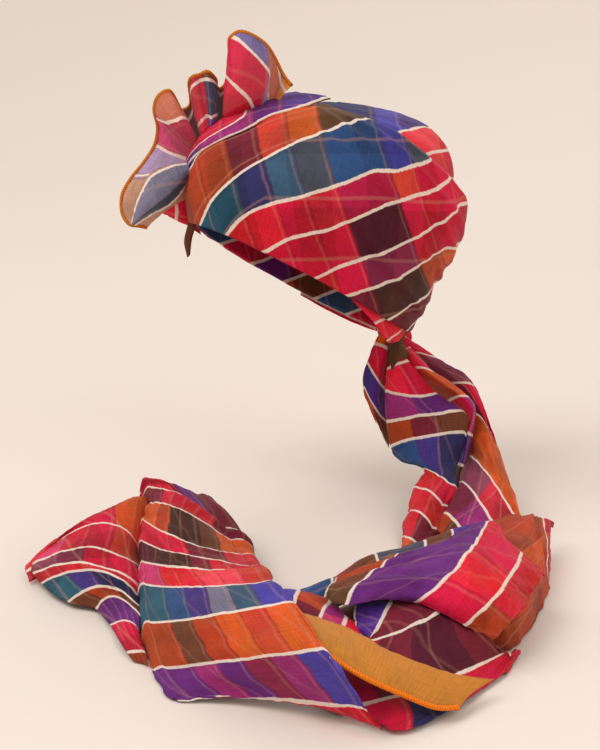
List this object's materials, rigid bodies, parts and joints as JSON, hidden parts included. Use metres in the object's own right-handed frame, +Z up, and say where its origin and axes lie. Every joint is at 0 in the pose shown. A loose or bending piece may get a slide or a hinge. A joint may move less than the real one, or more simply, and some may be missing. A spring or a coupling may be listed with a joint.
{
  "type": "turban",
  "caption": "Plaid scarf turban wound round the head, with a fanned crest over the brow and a long free end that hangs from the nape and lies in a loose pile.",
  "frame": {"origin": "centre of the head opening, where the wrap sits on the head", "axes": "+Z up, -Y the way the face looks, +X the wearer's left"},
  "size_m": [0.4973, 0.5041, 0.4062],
  "materials": {
    "crown_wrap": "woven",
    "front_wrap": "woven",
    "side_wrap": "woven",
    "nape_fold": "woven",
    "brow_fold": "woven",
    "nape_knot": "woven",
    "crest_fan": "sheer woven",
    "crest_roll": "sheer woven",
    "crest_lower": "woven",
    "brow_tip": "woven",
    "tail_left": "woven",
    "tail_tuck": "woven",
    "tail_center": "woven",
    "tail_roll": "woven",
    "tail_outer": "sheer woven",
    "tail_rest": "woven",
    "pile_back": "woven",
    "pile_swirl": "woven",
    "pile_fold": "woven",
    "pile_left": "woven",
    "pile_front": "woven",
    "tail_border": "woven",
    "tail_band": "woven",
    "tail_leaf": "sheer woven",
    "crest_hem": "overlock stitched",
    "border_hem": "overlock stitched"
  },
  "bodies": {
    "root": {"crown_wrap": "crown_wrap", "front_wrap": "front_wrap", "side_wrap": "side_wrap", "nape_fold": "nape_fold", "brow_fold": "brow_fold", "nape_knot": "nape_knot", "crest_fan": "crest_fan", "crest_roll": "crest_roll", "crest_lower": "crest_lower", "brow_tip": "brow_tip", "tail_left": "tail_left", "tail_tuck": "tail_tuck", "tail_center": "tail_center", "tail_roll": "tail_roll", "tail_outer": "tail_outer", "tail_rest": "tail_rest", "pile_back": "pile_back", "pile_swirl": "pile_swirl", "pile_fold": "pile_fold", "pile_left": "pile_left", "pile_front": "pile_front", "tail_border": "tail_border", "tail_band": "tail_band", "tail_leaf": "tail_leaf", "crest_hem": "crest_hem", "border_hem": "border_hem"}
  },
  "joints": []
}
